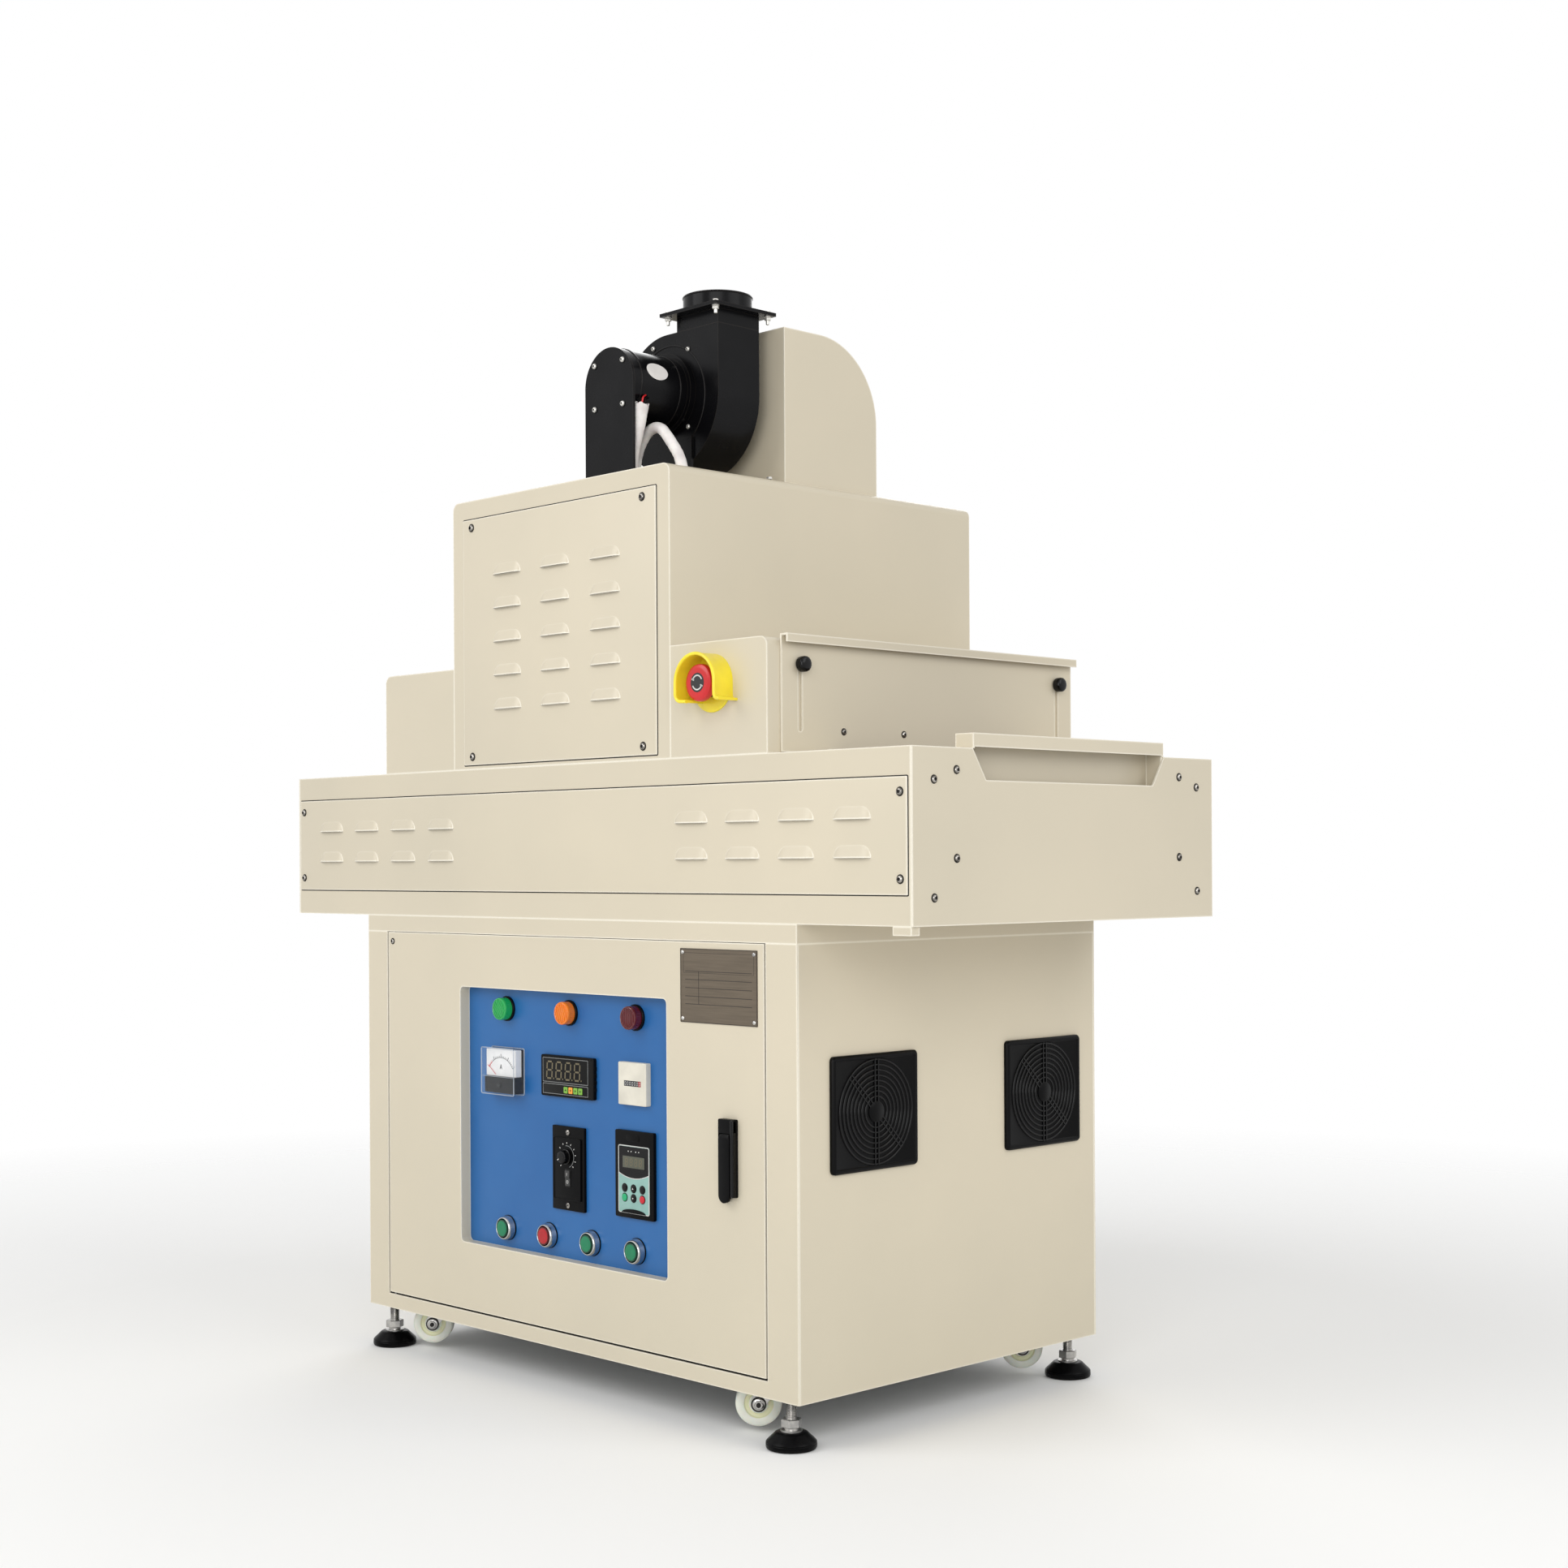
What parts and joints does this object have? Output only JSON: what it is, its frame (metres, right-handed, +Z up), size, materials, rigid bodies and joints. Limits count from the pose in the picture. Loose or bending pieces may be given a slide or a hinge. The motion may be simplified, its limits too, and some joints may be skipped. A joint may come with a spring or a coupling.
{
  "type": "uv conveyor dryer",
  "caption": "Floor-standing UV curing machine: belt conveyor through a lamp housing with end shutters, over a cabinet with a hinged control door and an exhaust blower on top.",
  "frame": {"origin": "on the floor, under the middle of the machine's bounding box", "axes": "+X along the belt to the operator's right, -Y towards the operator at the control door, +Z up"},
  "size_m": [1.104, 0.5364, 1.2615],
  "materials": {
    "cream_paint": "satin powder coat",
    "blue_paint": "satin powder coat",
    "black_paint": "semi-gloss paint",
    "zinc_steel": "zinc plated",
    "roller_steel": "ground",
    "belt_mesh": "coated glass cloth",
    "black_plastic": "moulded",
    "yellow_plastic": "moulded",
    "red_plastic": "moulded",
    "green_cap": "translucent",
    "cream_plastic": "moulded",
    "clear_cover": "clear over a white dial",
    "lamp_lens": "faceted lens",
    "bezel_chrome": "polished",
    "bare_plate": "brushed",
    "black_rubber": "moulded",
    "cream_nylon": "moulded",
    "white_sleeve": "woven sleeve"
  },
  "bodies": {
    "machine": {"cabinet_left_side": "cream_paint", "cabinet_right_side": "cream_paint", "cabinet_back": "cream_paint", "cabinet_front_frame": "cream_paint", "cabinet_cap": "cream_paint", "conveyor_frame": "cream_paint", "side_panels": "cream_paint", "end_plates": "cream_paint", "belt_end_guards": "cream_paint", "uv_housing": "cream_paint", "uv_panels": "cream_paint", "tunnel_hoods": "cream_paint", "duct_cowl": "cream_paint", "cabinet_floor": "zinc_steel", "fan_grilles": "black_plastic", "foot_pads": "black_rubber", "foot_stems": "zinc_steel", "caster_plates": "zinc_steel", "conveyor_pan": "zinc_steel", "belt": "belt_mesh", "belt_rollers": "roller_steel", "belt_bed": "zinc_steel", "shutter_knobs": "black_plastic", "estop_guard": "yellow_plastic", "hinge_pins": "zinc_steel", "blower_bracket": "black_paint", "blower_motor": "black_paint", "blower_scroll": "black_paint", "blower_outlet": "black_paint", "motor_sleeve": "white_sleeve", "lead_sleeve": "white_sleeve"},
    "door": {"cabinet_door": "cream_paint", "control_panel": "blue_paint", "ammeter": "clear_cover", "speed_display": "black_plastic", "hour_counter": "cream_plastic", "speed_controller": "black_plastic", "lamp_keypad": "black_plastic", "indicator_lamps": "lamp_lens", "button_bezels": "bezel_chrome", "nameplate": "bare_plate", "handle_base": "black_plastic"},
    "door_handle": {"handle_lever": "black_plastic"},
    "speed_dial": {"speed_knob": "black_plastic"},
    "button_a": {"push_button_a": "green_cap"},
    "button_b": {"push_button_b": "red_plastic"},
    "button_c": {"push_button_c": "green_cap"},
    "button_d": {"push_button_d": "green_cap"},
    "stop_button": {"estop_button": "red_plastic"},
    "left_shutter": {"shutter_left": "cream_paint"},
    "right_shutter": {"shutter_right": "cream_paint"},
    "fork_front_left": {"caster_fork_front_left": "zinc_steel"},
    "wheel_front_left": {"caster_wheel_front_left": "cream_nylon"},
    "fork_front_right": {"caster_fork_front_right": "zinc_steel"},
    "wheel_front_right": {"caster_wheel_front_right": "cream_nylon"},
    "fork_rear_left": {"caster_fork_rear_left": "zinc_steel"},
    "wheel_rear_left": {"caster_wheel_rear_left": "cream_nylon"},
    "fork_rear_right": {"caster_fork_rear_right": "zinc_steel"},
    "wheel_rear_right": {"caster_wheel_rear_right": "cream_nylon"}
  },
  "joints": [
    {"name": "door_hinge", "type": "hinge", "parent": "machine", "child": "door", "pos_m": [-0.3395, -0.23575, 0.3], "axis": [0, 0, -1], "range_deg": [0, 110]},
    {"name": "handle_lift", "type": "hinge", "parent": "door", "child": "door_handle", "pos_m": [0.288, -0.24675, 0.3205], "axis": [-1, 0, 0], "range_deg": [0, 35]},
    {"name": "speed_turn", "type": "hinge", "parent": "door", "child": "speed_dial", "pos_m": [0.0008, -0.23625, 0.272], "axis": [0, -1, 0], "range_deg": [-135, 135]},
    {"name": "stop_push", "type": "slide", "parent": "machine", "child": "stop_button", "axis": [0, 1, 0], "range_m": [0, 0.004]},
    {"name": "left_shutter_lift", "type": "slide", "parent": "machine", "child": "left_shutter", "axis": [0, 0, 1], "range_m": [0, 0.068]},
    {"name": "right_shutter_lift", "type": "slide", "parent": "machine", "child": "right_shutter", "axis": [0, 0, 1], "range_m": [0, 0.068]},
    {"name": "button_a_push", "type": "slide", "parent": "door", "child": "button_a", "axis": [0, 1, 0], "range_m": [0, 0.003], "stiffness_N_per_m": 300, "springref_m": -0.001},
    {"name": "button_b_push", "type": "slide", "parent": "door", "child": "button_b", "axis": [0, 1, 0], "range_m": [0, 0.003], "stiffness_N_per_m": 300, "springref_m": -0.001},
    {"name": "button_c_push", "type": "slide", "parent": "door", "child": "button_c", "axis": [0, 1, 0], "range_m": [0, 0.003], "stiffness_N_per_m": 300, "springref_m": -0.001},
    {"name": "button_d_push", "type": "slide", "parent": "door", "child": "button_d", "axis": [0, 1, 0], "range_m": [0, 0.003], "stiffness_N_per_m": 300, "springref_m": -0.001},
    {"name": "swivel_front_left", "type": "hinge", "parent": "machine", "child": "fork_front_left", "pos_m": [-0.298, -0.18525, 0.06], "axis": [0, 0, 1], "continuous": true},
    {"name": "spin_front_left", "type": "hinge", "parent": "fork_front_left", "child": "wheel_front_left", "pos_m": [-0.31055, -0.19815, 0.0315], "axis": [0.7169, -0.6972, 0], "continuous": true},
    {"name": "swivel_front_right", "type": "hinge", "parent": "machine", "child": "fork_front_right", "pos_m": [0.298, -0.18525, 0.06], "axis": [0, 0, 1], "continuous": true},
    {"name": "spin_front_right", "type": "hinge", "parent": "fork_front_right", "child": "wheel_front_right", "pos_m": [0.28545, -0.19815, 0.0315], "axis": [0.7169, -0.6972, 0], "continuous": true},
    {"name": "swivel_rear_left", "type": "hinge", "parent": "machine", "child": "fork_rear_left", "pos_m": [-0.298, 0.19775, 0.06], "axis": [0, 0, 1], "continuous": true},
    {"name": "spin_rear_left", "type": "hinge", "parent": "fork_rear_left", "child": "wheel_rear_left", "pos_m": [-0.28545, 0.21065, 0.0315], "axis": [0.7169, -0.6972, 0], "continuous": true},
    {"name": "swivel_rear_right", "type": "hinge", "parent": "machine", "child": "fork_rear_right", "pos_m": [0.298, 0.19775, 0.06], "axis": [0, 0, 1], "continuous": true},
    {"name": "spin_rear_right", "type": "hinge", "parent": "fork_rear_right", "child": "wheel_rear_right", "pos_m": [0.31055, 0.21065, 0.0315], "axis": [0.7169, -0.6972, 0], "continuous": true}
  ]
}
